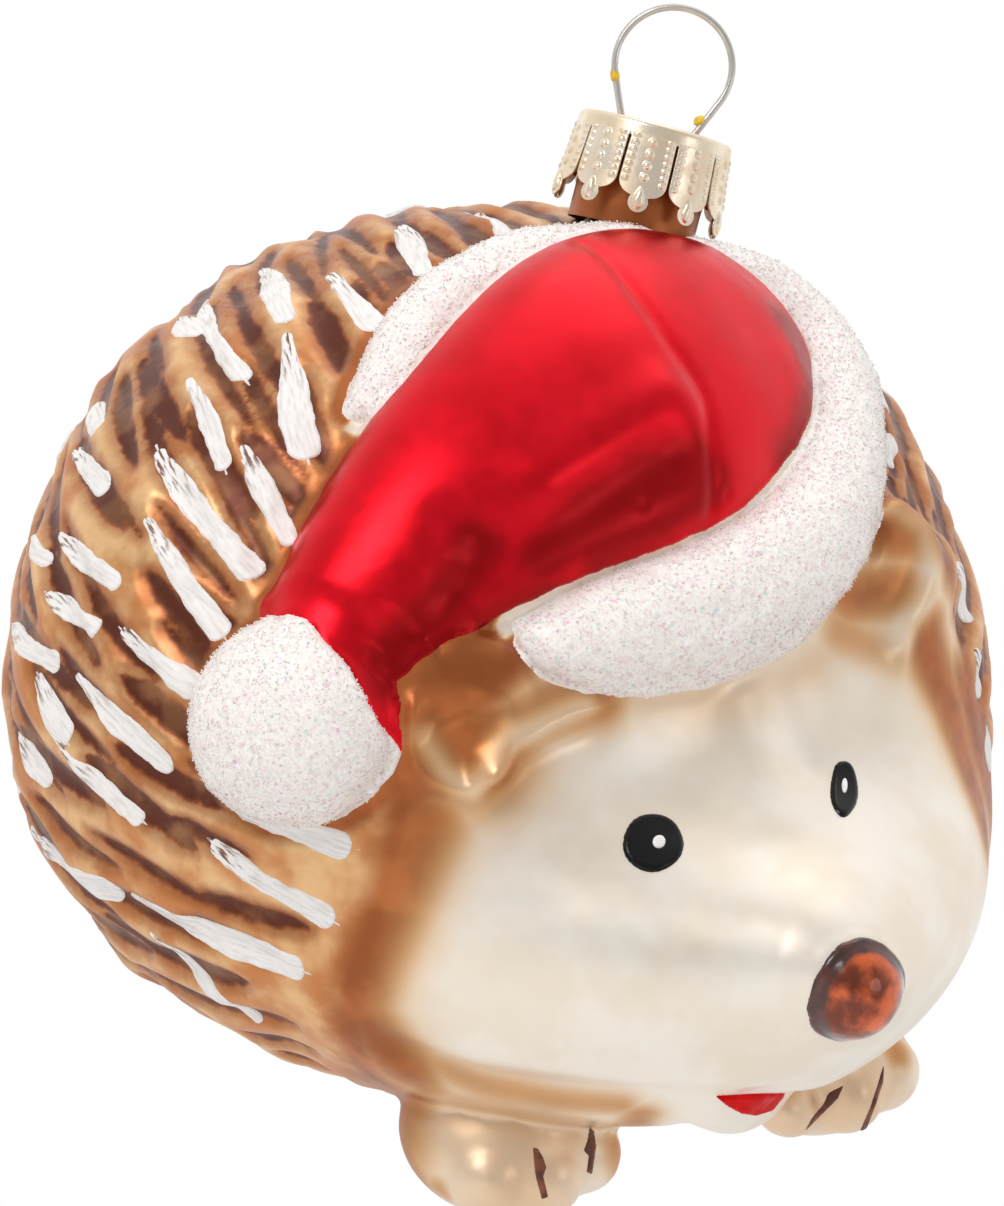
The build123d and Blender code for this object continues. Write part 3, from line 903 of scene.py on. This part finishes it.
def coat(name, node, slot, field, thickness, edge, cuts=1, rough=None, extra=None, grains=0):
    """Thin closed layer on the glass where the field, in millimetres inside its outline, is above zero."""
    sunk, margin = 0.25, edge + 0.5
    first_field = field(points) if callable(field) else field
    chosen = [face for face in faces if max(first_field[i] for i in face) > -margin]
    skin_points, chosen, used = trimmed(points, chosen)
    patch = make_mesh("patch", skin_points, chosen)
    set_values(patch, "field", first_field[used])
    patch = modified(patch, "SUBSURF", levels=cuts, render_levels=cuts)
    skin, quads, outward = arrays_of(patch)
    inside = field(skin) if callable(field) else get_values(patch, "field")
    quads = [face for face in quads if max(inside[i] for i in face) > -margin]
    skin, quads, used = trimmed(skin, quads)
    outward, inside = outward[used], inside[used]
    share = np.clip(inside / edge, 0, 1)
    rise = thickness * np.sqrt(1 - (1 - share) ** 2) + np.clip(inside, -0.6 * edge, 0) * 0.5
    if rough is not None:
        rise = rise + rough(skin) * ease(inside, 0, edge)
    top = skin + outward * rise[:, None]
    low = skin - outward * sunk
    body = closed_sheet(quads, len(skin))
    whole = np.vstack([top, low])
    if grains:
        grain_points, grain_faces = strew(top, outward, quads, inside, grains)
        body += shifted(grain_faces, len(whole))
        whole = np.vstack([whole, grain_points])
    mesh = make_mesh(name, whole, body)
    for key, row in (extra(skin, inside) if extra else {}).items():
        set_values(mesh, key, np.tile(row, 2))
    make_piece(name, mesh, slot, "figure", [node])


crystal_corners = np.array([(1, 0, 0), (-1, 0, 0), (0, 1, 0), (0, -1, 0), (0, 0, 0.45), (0, 0, -0.45)])
crystal_faces = [(0, 2, 4), (2, 1, 4), (1, 3, 4), (3, 0, 4), (2, 0, 5), (1, 2, 5), (3, 1, 5), (0, 3, 5)]
crystal_size = (0.06, 0.13)


def strew(top, outward, quads, inside, count):
    """Tiny crystals that stick to a coat at every angle."""
    rng = np.random.default_rng(count)
    deep = [face for face in quads if min(inside[i] for i in face) > 0.1]
    picked = [deep[i] for i in rng.integers(0, len(deep), count)]
    places = np.array([top[list(face)].mean(axis=0) for face in picked])
    lift = np.array([outward[face[0]] for face in picked])
    places = places + lift * 0.05 + rng.uniform(-0.1, 0.1, places.shape)
    spin = rng.normal(size=(count, 4))
    w, x, y, z = (spin / np.linalg.norm(spin, axis=1)[:, None]).T
    turns = np.array([
        [1 - 2 * (y * y + z * z), 2 * (x * y - z * w), 2 * (x * z + y * w)],
        [2 * (x * y + z * w), 1 - 2 * (x * x + z * z), 2 * (y * z - x * w)],
        [2 * (x * z - y * w), 2 * (y * z + x * w), 1 - 2 * (x * x + y * y)],
    ])
    sizes = rng.uniform(*crystal_size, count)
    corners = np.einsum("ijn,kj->nki", turns, crystal_corners) * sizes[:, None, None] + places[:, None, :]
    made = [tuple(i + 6 * number for i in face) for number in range(count) for face in crystal_faces]
    return corners.reshape(-1, 3), made


def strewn(skin):
    """Uneven height of a coat of grains."""
    return 0.06 * noise(skin, 0.5, 31) + 0.12 * noise(skin, 1.6, 32)


def ring_of(pixel, half_width, half_height, wobble=0.03, corners=28):
    """Outline of an oval at a pixel, a little uneven."""
    turns = [tau * step / corners for step in range(corners)]
    sizes = [1 + wobble * sin(3 * turn + 1) + wobble * sin(5 * turn) for turn in turns]
    return [
        (pixel[0] + half_width * size * cos(turn), pixel[1] + half_height * size * sin(turn))
        for turn, size in zip(turns, sizes)
    ]


# Painted shade on the hat: a deeper red along these rows, where the hat's flanks fall in shade: rows of pixels
# with a width in millimetres
painted_shade_rows = [
    ([(545, 560), (600, 505), (690, 455)], 2.6), ([(600, 545), (650, 515), (705, 480)], 3.0),
    ([(475, 545), (440, 600), (385, 665)], 2.6), ([(395, 680), (470, 640), (540, 600)], 3.2),
    ([(790, 330), (815, 400), (790, 460)], 3.0),
]


def lacquer_painted_shade(skin, inside):
    """Painted shade on the red lacquer, from 0 to 1: how far its red is turned deeper."""
    depth = np.zeros(len(skin))
    for pixels, width in painted_shade_rows:
        for row in rows_at(glass_tree, pixels):
            depth = np.maximum(depth, beside(skin, row, width))
    return {"painted_shade": depth}


hat_shrink = (0.75 + 0.5 * ease(points[:, 2], -30, -20)) * ease(brim_field, -4, -1)
# The hat's lacquer carries painted shade along the given rows
coat("hat_paint", "hat_lacquer", "red_lacquer", hat_field - hat_shrink, 0.15, 0.3, extra=lacquer_painted_shade)
coat("brim_sparkle", "brim_glitter", "white_glitter", brim_field, 0.5, 0.8, rough=strewn, grains=9000)
coat("pompom_sparkle", "pompom_glitter", "white_glitter", pompom_field, 0.5, 0.8, rough=strewn, grains=3500)
coat("nose_paint", "nose_enamel", "brown_enamel", nose_field + 0.2, 0.25, 0.5, cuts=2,
     extra=lambda skin, inside: {"heart": ease(inside, 0.8, 2.4)})

# Painted features, as outlines of pixels
right_eye = ring_of((653, 843), 30, 29, 0.012)
left_eye = ring_of((844, 789), 13.5, 28, 0.02)
glints = [ring_of((658, 844), 7, 7, 0), ring_of((843, 788), 3.4, 8, 0)]
tongue = [
    (716, 1096), (728, 1106), (742, 1113), (756, 1115), (772, 1110), (786, 1101), (791, 1093), (754, 1094),
]
claws = [
    [(533, 1147), (538, 1149), (543, 1158), (546, 1168), (543, 1176), (548, 1197), (542, 1199), (536, 1176),
     (534, 1160)],
    [(590, 1127), (594, 1132), (596, 1146), (594, 1160), (592, 1174), (587, 1172), (589, 1156), (584, 1150),
     (588, 1140)],
    [(843, 1086), (838, 1098), (824, 1112), (805, 1131), (812, 1118), (824, 1104), (829, 1093)],
    [(884, 1064), (883, 1082), (876, 1104), (866, 1130), (860, 1138), (860, 1131), (870, 1108), (878, 1084)],
]


def several(outlines, reach):
    """Field of several dabs together."""
    fields = [pictured(outline, reach) for outline in outlines]
    return lambda places: np.maximum.reduce([field(places) for field in fields])


coat("right_eye", "eye_right", "black_enamel", pictured(right_eye, 8), 0.32, 0.4, cuts=2)
coat("left_eye", "eye_left", "black_enamel", pictured(left_eye, 8), 0.32, 0.4, cuts=2)
coat("eye_dots", "eye_glints", "white_enamel", several(glints, 3), 0.45, 0.12, cuts=3)
coat("tongue_paint", "tongue_enamel", "red_enamel", pictured(tongue, 7), 0.3, 0.3, cuts=2)
coat("claw_lines", "claw_strokes", "claw_paint", several(claws, 6), 0.12, 0.2, cuts=2)

# White brush strokes: start and end pixels where the photograph shows them
white_strokes = [
    ((342, 222), (366, 262)), ((264, 270), (286, 322)), ((402, 226), (425, 275)), ((482, 213), (502, 240)),
    ((206, 303), (246, 380)), ((330, 275), (378, 330)), ((282, 335), (312, 458)), ((118, 360), (160, 400)),
    ((190, 378), (224, 470)), ((242, 445), (292, 545)), ((162, 448), (250, 580)), ((96, 405), (98, 428)),
    ((76, 450), (108, 490)), ((142, 522), (228, 634)), ((34, 535), (50, 565)), ((60, 535), (120, 585)),
    ((50, 590), (95, 635)), ((12, 628), (60, 660)), ((122, 630), (200, 692)), ((35, 678), (70, 740)),
    ((78, 672), (172, 772)), ((20, 735), (52, 783)), ((62, 745), (140, 825)), ((205, 785), (352, 845)),
    ((212, 842), (334, 922)), ((32, 832), (120, 888)), ((130, 892), (304, 975)), ((150, 932), (262, 1022)),
    ((104, 950), (238, 1020)), ((872, 378), (886, 408)), ((886, 432), (890, 468)), ((958, 562), (964, 622)),
    ((974, 650), (980, 696)), ((988, 730), (986, 760)), ((182, 318), (196, 336)),
]
stroke_rings = [(66, 7, 8.5), (79, 8, 8), (92, 8, 8), (105, 8, 8), (118, 8, 8.5), (132, 8, 9), (147, 7, 9.5)]
stroke_width = 1.8
stroke_paint = 0.14


def lay_strokes():
    """Start, end and width of every white stroke: staggered rings follow on where the photograph ends."""
    rng = np.random.default_rng(23)
    made = []
    for first, last in white_strokes:
        start, end = place_at(glass_tree, first), place_at(glass_tree, last)
        if start is not None and end is not None:
            made.append((start, end, stroke_width * rng.uniform(0.8, 1.35)))
    for start, length in ring_places(glass_tree, rng, stroke_rings):
        outward, back, across = local_frame(start)
        lean = rng.uniform(-0.25, 0.25)
        reach = length * rng.uniform(0.65, 1.4)
        end = place_toward(glass_tree, start - reach * (back * cos(lean) + across * sin(lean)) - body_middle)
        nearest = int(np.argmin(np.linalg.norm(points - (start + end) / 2, axis=1)))
        unseen = normals[nearest] @ -camera_ahead < 0
        clear = outside_hat[nearest] > length / 2 + 1.2 and np.hypot(start[0], start[1]) > 10
        if clear and unseen and quill_zone[nearest] > 0.9:
            made.append((start, end, stroke_width * rng.uniform(0.8, 1.35)))
    return made


strokes = lay_strokes()


def near_stroke(skin, start, end, width):
    """Points near a stroke with their way along it, from 0 to 1, and side of it in millimetres."""
    middle = (start + end) / 2
    length = np.linalg.norm(end - start)
    along = (end - start) / length
    near = np.flatnonzero(np.linalg.norm(skin - middle, axis=1) < length / 2 + width + 1)
    across = np.cross(middle - body_middle, along)
    across = across / np.linalg.norm(across)
    offset = skin[near] - start
    return near, offset @ along / length, offset @ across, length


def strokes_field(skin):
    """Distance inside the nearest white stroke."""
    best = np.full(len(skin), -3.0)
    for number, (start, end, width) in enumerate(strokes):
        near, way, side, length = near_stroke(skin, start, end, width)
        wobble = 0.13 * noise(skin[near], 0.9, 40 + number % 7)
        bow = 0.35 * np.sin(pi * way + number) * (number % 3 - 1)
        head = 0.4 + 0.6 * ease(way, -0.05, 0.45)
        belly = 1 - 0.15 * np.cos(tau * way + number)
        half = width / 2 * head * belly
        beyond = np.maximum(np.maximum(-way, way - 1) * length + half * 0.9, 0)
        round_off = np.sqrt(np.clip(1 - (beyond / (half * 0.9)) ** 2, 0, 1))
        field = half * round_off - np.abs(side + bow) + wobble
        field = np.where((way < -0.05) | (way > 1.05), np.minimum(field, -0.1), field)
        best[near] = np.maximum(best[near], field)
    return best


def brush_marks(skin, inside):
    """Way along the stroke and side of it for the bristle marks, and how dry the brush was."""
    ways, sides, dry = np.zeros(len(skin)), np.zeros(len(skin)), np.zeros(len(skin))
    closest = np.full(len(skin), 9.0)
    for number, (start, end, width) in enumerate(strokes):
        near, way, side, length = near_stroke(skin, start, end, width)
        gap = np.abs(side) / width + 3 * np.maximum(np.maximum(-way, way - 1), 0)
        better = gap < closest[near]
        pick = near[better]
        closest[pick] = gap[better]
        ways[pick] = way[better] * length + 13 * number
        sides[pick] = side[better] + 7 * number
        dry[pick] = ease(0.5 - way[better], 0, 0.4) * (0.4 + 0.6 * (number % 3 > 0))
    return {"way": ways, "side": sides, "dry": dry}


coat("quill_paint", "quill_strokes", "white_paint", strokes_field, stroke_paint, 0.25, cuts=2,
     extra=brush_marks)

# Cap: ten embossed tongues under a plain drawn top
cap_top = -10.05
cap_sheet = 0.25
cap_radius, cap_foot_radius, cap_height = 6.55, 7.2, 7.7
tongue_count = 10
half_slit = 0.13
tongue_start, slit_start, shoulder_start = 1.2, 1.5, 5.0
neck_drop, neck_half = 6.35, 0.55  # where a tongue is narrowest, and half its width there
lobe_radius = 0.85
tongue_rows, tongue_columns = 84, 40
bead_height, big_bead_height, drop_height = 0.16, 0.2, 0.3


def tongue_half_width(drop, radius):
    """Half width of a tongue at a distance below the top of the cap."""
    full = pi * radius / tongue_count - half_slit * ease(drop, slit_start - 0.1, slit_start)
    lobe_drop = cap_height - lobe_radius
    lobe = np.sqrt(np.clip(lobe_radius ** 2 - (drop - lobe_drop) ** 2, 0.0004, None))
    share = np.clip((drop - shoulder_start) / (neck_drop - shoulder_start), 0, 1)
    narrowing = neck_half + (full - neck_half) * np.sqrt(1 - share ** 2.2)
    return np.where(drop < neck_drop, narrowing, np.maximum(lobe, np.where(drop < lobe_drop, neck_half, 0)))


def embossing(side, drop, half):
    """Height of the beads on a tongue."""
    height = np.zeros_like(drop)
    for number in range(7):
        for edge in (-1, 1):
            gap = np.hypot(side - edge * (half - 0.6), drop - 1.35 - 0.62 * number)
            height += bead_height * np.sqrt(np.clip(1 - (gap / 0.27) ** 2, 0, 1))
    for number in range(4):
        gap = np.hypot(side, drop - 1.7 - 1.0 * number)
        height += big_bead_height * np.sqrt(np.clip(1 - (gap / 0.36) ** 2, 0, 1))
    share = ease(drop, 5.3, 7.1)
    gap = np.hypot(side / (0.22 + 0.3 * share), (drop - 6.5) / 0.95)
    return height + drop_height * np.sqrt(np.clip(1 - gap ** 2, 0, 1))


def make_cap():
    """The cap's plain top from the frame with new tongues below it."""
    top = bmesh.new()
    top.from_mesh(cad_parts["cap"].data)
    cut = (cap_top - tongue_start - 0.05) * MM
    every = list(top.verts) + list(top.edges) + list(top.faces)
    bmesh.ops.bisect_plane(top, geom=every, plane_co=(0, 0, cut), plane_no=(0, 0, -1), clear_outer=True)
    mesh = bpy.data.meshes.new("top")
    top.to_mesh(mesh)
    top.free()
    places, made, _ = arrays_of(mesh)
    places = list(places)
    drops = np.linspace(tongue_start, cap_height, tongue_rows)
    drop, share = np.meshgrid(drops, np.linspace(-1, 1, tongue_columns), indexing="ij")
    radius = cap_radius + (cap_foot_radius - cap_radius) * drop / cap_height
    half = tongue_half_width(drop, radius)
    side = share * half
    raised = embossing(side, drop, pi * radius / tongue_count)
    count, wide = tongue_rows * tongue_columns, tongue_columns
    grid = [(i, i + wide, i + wide + 1, i + 1) for i in range(count - wide) if (i + 1) % wide]
    tongue_faces = closed_sheet(grid, count)
    rng = np.random.default_rng(3)
    for number in range(tongue_count):
        bend = rng.uniform(-0.1, 0.35) * ease(drop, 3.0, 7.7)
        angle = tau * number / tongue_count - pi / 2 + side / radius
        made += shifted(tongue_faces, len(places))
        for out in (radius + raised + bend, radius + raised * 0.8 + bend - cap_sheet):
            sheet = np.stack([out * np.cos(angle), out * np.sin(angle), cap_top - drop], axis=-1)
            places += list(sheet.reshape(-1, 3))
    return make_mesh("crown_cap", places, made)


make_piece("crown_cap", make_cap(), "gilt_sheet", "cap", ["cap"])

# Ring: the frame's own wire, with flecks of yellow lacquer stuck to it
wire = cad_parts["hanger_ring"]
for place in wire.material_slots:
    place.material = finishes["spring_wire"]
flecks = [((615, 76), 0.38, 1.7), ((700, 121), 0.42, 1.3)]


def make_flecks():
    """Lumps of lacquer round the wire."""
    places, made = [], []
    for pixel, size, stretch in flecks:
        ball = bmesh.new()
        bmesh.ops.create_icosphere(ball, subdivisions=4, radius=1)
        direction = sight(pixel)
        middle = camera_place - direction * camera_place[1] / direction[1]  # in the plane of the ring
        along = np.cross(middle - np.array((0, 0, -4.65)), camera_ahead)
        along = along / np.linalg.norm(along)
        corners = np.array([vert.co[:] for vert in ball.verts])
        corners = corners * size * (1 + 0.18 * noise(corners, 0.7, 9)[:, None])
        corners = corners + np.outer(corners @ along, along) * (stretch - 1)
        made += shifted([[vert.index for vert in face.verts] for face in ball.faces], len(places))
        places += list(corners + middle)
        ball.free()
    return make_mesh("ring_flecks", places, made)


make_piece("ring_flecks", make_flecks(), "spring_wire", "hanger", finish="yellow_enamel")


# Studio

def studio():
    """Pale floor, white surroundings, soft lamps and the camera."""
    world = bpy.data.worlds.new("surroundings")
    world.use_nodes = True
    tree = world.node_tree
    path = add_node(tree, "ShaderNodeLightPath").outputs
    place = add_node(tree, "ShaderNodeTexCoord").outputs["Generated"]
    parts = add_node(tree, "ShaderNodeSeparateXYZ", {0: place}).outputs
    room = mix(tree, ramp(tree, parts["Z"], -0.6, 0.9), (0.36, 0.35, 0.34, 1), (0.86, 0.86, 0.86, 1))
    front = ramp(tree, parts["Y"], -0.8, 0.6)
    glossy = mix(tree, front, (0.42, 0.42, 0.43, 1), (0.95, 0.95, 0.95, 1))
    seen = sum_of(tree, "MAXIMUM", path["Is Camera Ray"], path["Is Transmission Ray"])
    shown = mix(tree, path["Is Glossy Ray"], room, glossy)
    tree.links.new(mix(tree, seen, shown, (1, 1, 1, 1)), tree.nodes["Background"].inputs[0])
    bpy.context.scene.world = world

    floor_gap, floor_size = 200, 1500
    low = cad_low.z / MM - floor_gap
    corners = [(-floor_size, -floor_size, low), (floor_size, -floor_size, low),
               (floor_size, floor_size, low), (-floor_size, floor_size, low)]
    floor = bpy.data.objects.new("floor", make_mesh("floor", corners, [(0, 1, 2, 3)], False))
    bpy.context.scene.collection.objects.link(floor)
    material, tree, shader = new_material("floor_white", Roughness=0.7)
    pale = uneven_colour(tree, colour(247, 247, 247), colour(244, 244, 244), 60.0)
    tree.links.new(pale["Color"], shader.inputs["Base Color"])
    camera_ray = add_node(tree, "ShaderNodeLightPath").outputs["Is Camera Ray"]
    glow = mix(tree, camera_ray, (0, 0, 0, 1), (0.32, 0.32, 0.32, 1))
    tree.links.new(glow, shader.inputs["Emission Color"])
    shader.inputs["Emission Strength"].default_value = 1
    floor.data.materials.append(material)

    lamps = [
        ("window", (-250, -330, 210), 230, 0.68, (1.0, 0.99, 0.97)),
        ("side_panel", (330, -240, 40), 150, 0.07, (1.0, 1.0, 1.0)),
        ("overhead", (-20, 60, 330), 260, 0.14, (1.0, 1.0, 1.0)),
        ("front_panel", (-100, -430, -190), 280, 0.03, (1.0, 0.98, 0.95)),
    ]
    target = Vector(body_middle) * MM
    for name, place, size, power, tint in lamps:
        lamp = bpy.data.lights.new(name, "AREA")
        lamp.shape, lamp.size, lamp.energy, lamp.color = "DISK", size * MM, power, tint
        holder = bpy.data.objects.new(name, lamp)
        holder.location = Vector(place) * MM
        holder.rotation_euler = (target - holder.location).to_track_quat("-Z", "Y").to_euler()
        bpy.context.scene.collection.objects.link(holder)

    camera = bpy.data.cameras.new("camera")
    camera.sensor_width = sensor_height
    camera.lens = focal_pixels / image_height * sensor_height
    camera.clip_start = 50 * MM
    holder = bpy.data.objects.new("camera", camera)
    turn = Matrix((camera_right, camera_up, -camera_ahead)).transposed().to_4x4()
    holder.matrix_world = Matrix.Translation(Vector(camera_place) * MM) @ turn
    bpy.context.scene.collection.objects.link(holder)
    bpy.context.scene.camera = holder
    bpy.context.scene.view_settings.view_transform = "Standard"


studio()
